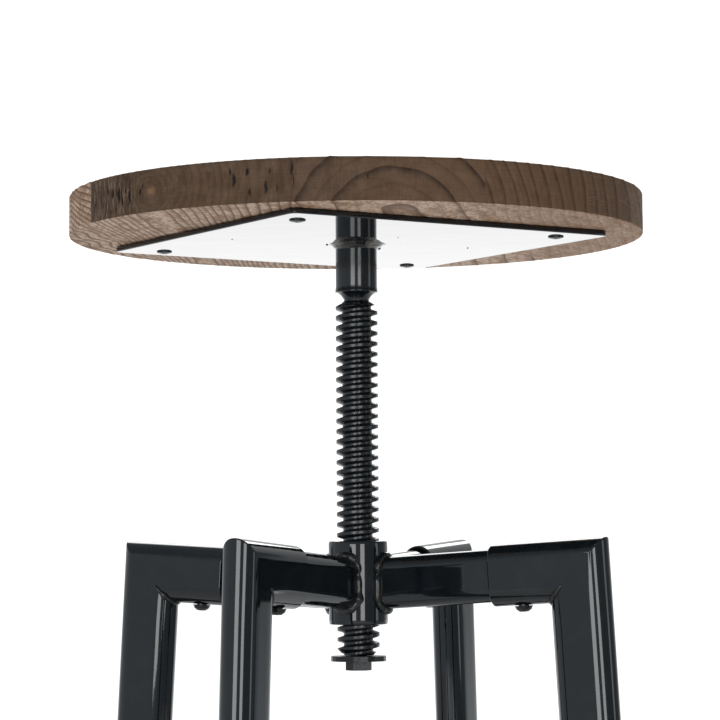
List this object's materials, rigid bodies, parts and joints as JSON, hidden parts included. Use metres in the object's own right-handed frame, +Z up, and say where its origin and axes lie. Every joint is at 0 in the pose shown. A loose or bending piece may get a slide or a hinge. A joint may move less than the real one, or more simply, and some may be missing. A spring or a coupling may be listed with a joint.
{
  "type": "adjustable swivel stool",
  "caption": "Backless screw stool: round wooden seat on a threaded steel spindle that turns up and down in a hub on splayed flat-oval tube legs with a foot ring.",
  "frame": {"origin": "on the floor, under the axis of the spindle", "axes": "+Z up along the spindle; +X along the first arm, +Y along the second arm"},
  "size_m": [0.354, 0.354, 0.602],
  "materials": {
    "wood": "brushed, stained and limed softwood, matt",
    "black_paint": "glossy black coating on steel",
    "black_screw": "blackened steel, half gloss",
    "black_plastic": "moulded, matt"
  },
  "bodies": {
    "base": {"hub": "black_paint", "foot_ring": "black_paint", "stub_arm_1": "black_paint", "leg_sleeve_1": "black_paint", "leg_post_1": "black_paint", "arm_bolt_1": "black_screw", "arm_nut_1": "black_screw", "foot_glide_1": "black_plastic", "ring_bolt_1": "black_screw", "ring_nut_1": "black_screw", "stub_arm_2": "black_paint", "leg_sleeve_2": "black_paint", "leg_post_2": "black_paint", "arm_bolt_2": "black_screw", "arm_nut_2": "black_screw", "foot_glide_2": "black_plastic", "ring_bolt_2": "black_screw", "ring_nut_2": "black_screw", "stub_arm_3": "black_paint", "leg_sleeve_3": "black_paint", "leg_post_3": "black_paint", "arm_bolt_3": "black_screw", "arm_nut_3": "black_screw", "foot_glide_3": "black_plastic", "ring_bolt_3": "black_screw", "ring_nut_3": "black_screw", "stub_arm_4": "black_paint", "leg_sleeve_4": "black_paint", "leg_post_4": "black_paint", "arm_bolt_4": "black_screw", "arm_nut_4": "black_screw", "foot_glide_4": "black_plastic", "ring_bolt_4": "black_screw", "ring_nut_4": "black_screw"},
    "stop_washer": {"stop_washer": "black_screw"},
    "seat": {"seat_board": "wood", "seat_plate": "black_paint", "seat_screw_1": "black_screw", "seat_screw_2": "black_screw", "seat_screw_3": "black_screw", "seat_screw_4": "black_screw", "spindle": "black_paint", "stop_bolt": "black_screw"}
  },
  "joints": [
    {"name": "seat_height", "type": "slide", "parent": "base", "child": "stop_washer", "axis": [0, 0, 1], "range_m": [-0.1371, 0.0176]},
    {"name": "seat_swivel", "type": "hinge", "parent": "stop_washer", "child": "seat", "pos_m": [0, 0, 0.402], "axis": [0, 0, 1], "range_deg": [-8220, 1050]}
  ],
  "couplings": [
    {"joint": "seat_height", "follows": "seat_swivel", "m_per_rad": 0.00095493}
  ]
}
